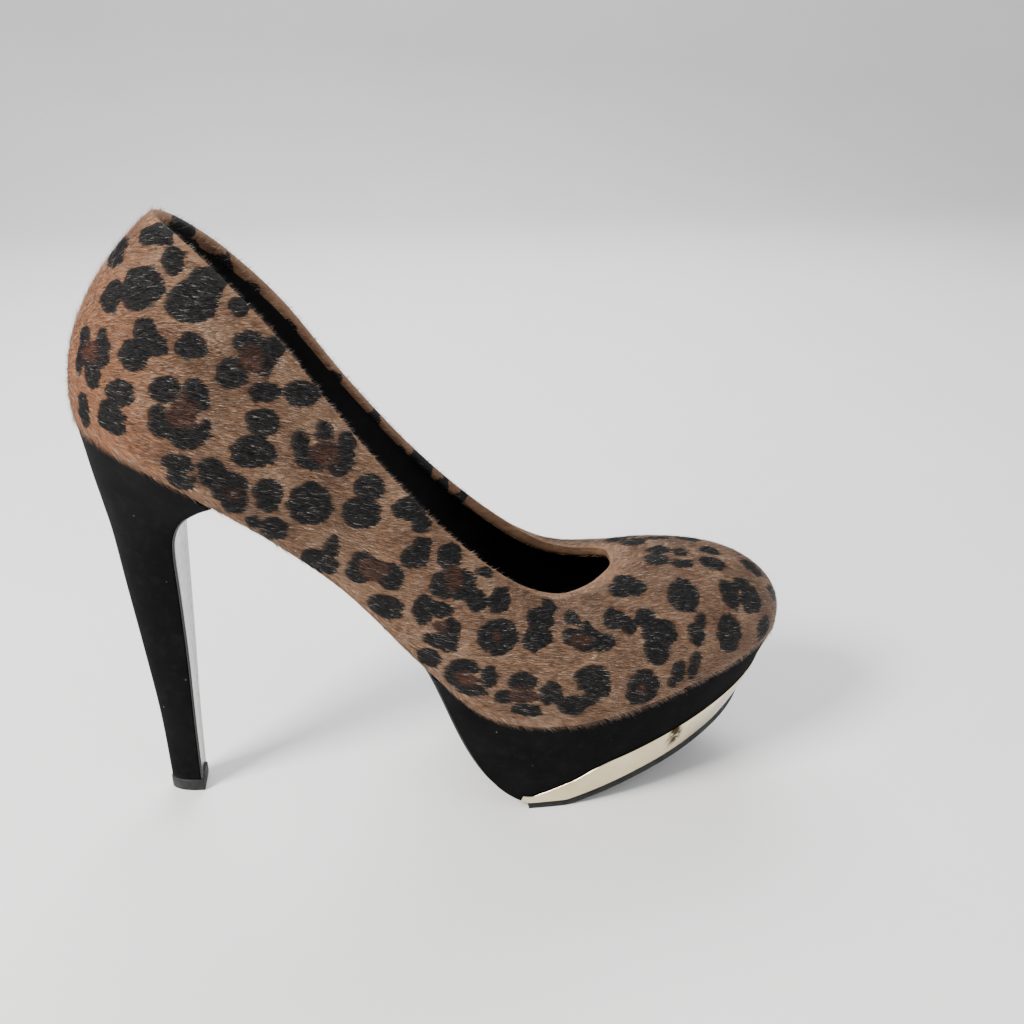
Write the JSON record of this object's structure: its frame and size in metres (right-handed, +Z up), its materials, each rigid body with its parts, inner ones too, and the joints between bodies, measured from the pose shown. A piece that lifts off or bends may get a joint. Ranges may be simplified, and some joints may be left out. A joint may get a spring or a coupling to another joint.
{
  "type": "high heel pump",
  "caption": "Slip-on platform pump with a tall slim covered heel, low-cut spotted hair-calf upper and a metal trim band round the platform.",
  "frame": {"origin": "middle of the shoe's footprint box, on the ground under the top lift and the tread", "axes": "+X from the heel towards the toe, +Y to the wearer's left, which is the medial side of this right shoe, +Z up"},
  "size_m": [0.2356, 0.085, 0.2025],
  "materials": {
    "hair_calf": "short-haired calf skin with a dark spotted print",
    "lining": "matte black lining leather",
    "interlining": "woven interlining",
    "fibre_board": "pressed cellulose board",
    "foam": "open foam and cork filler",
    "suede": "matte black suede",
    "patent": "smooth glossy black leather",
    "sole_rubber": "matte black",
    "trim": "pale gold mirror finish",
    "plastic": "moulded, unseen",
    "steel": "plain"
  },
  "bodies": {
    "root": {"upper": "hair_calf", "toe_puff": "interlining", "heel_counter": "fibre_board", "topline_tape": "interlining", "heel_grip_lining": "lining", "lateral_quarter_lining": "lining", "vamp_lining": "lining", "medial_quarter_lining": "lining", "forefoot_filler": "foam", "shank": "steel", "insole_board": "fibre_board", "insole_foam": "foam", "sock_lining": "lining", "shank_rivet_1": "steel", "shank_rivet_2": "steel", "heel_screw": "steel", "heel_nail_1": "steel", "heel_nail_2": "steel", "heel_nail_3": "steel", "heel_nail_4": "steel", "platform_core": "plastic", "platform_cover": "suede", "platform_trim": "trim", "waist_sole": "patent", "outsole": "sole_rubber", "heel_core": "plastic", "heel_tube": "steel", "heel_cover": "suede", "heel_breast_strip": "patent", "top_lift": "sole_rubber", "top_lift_pin": "steel"}
  },
  "joints": []
}
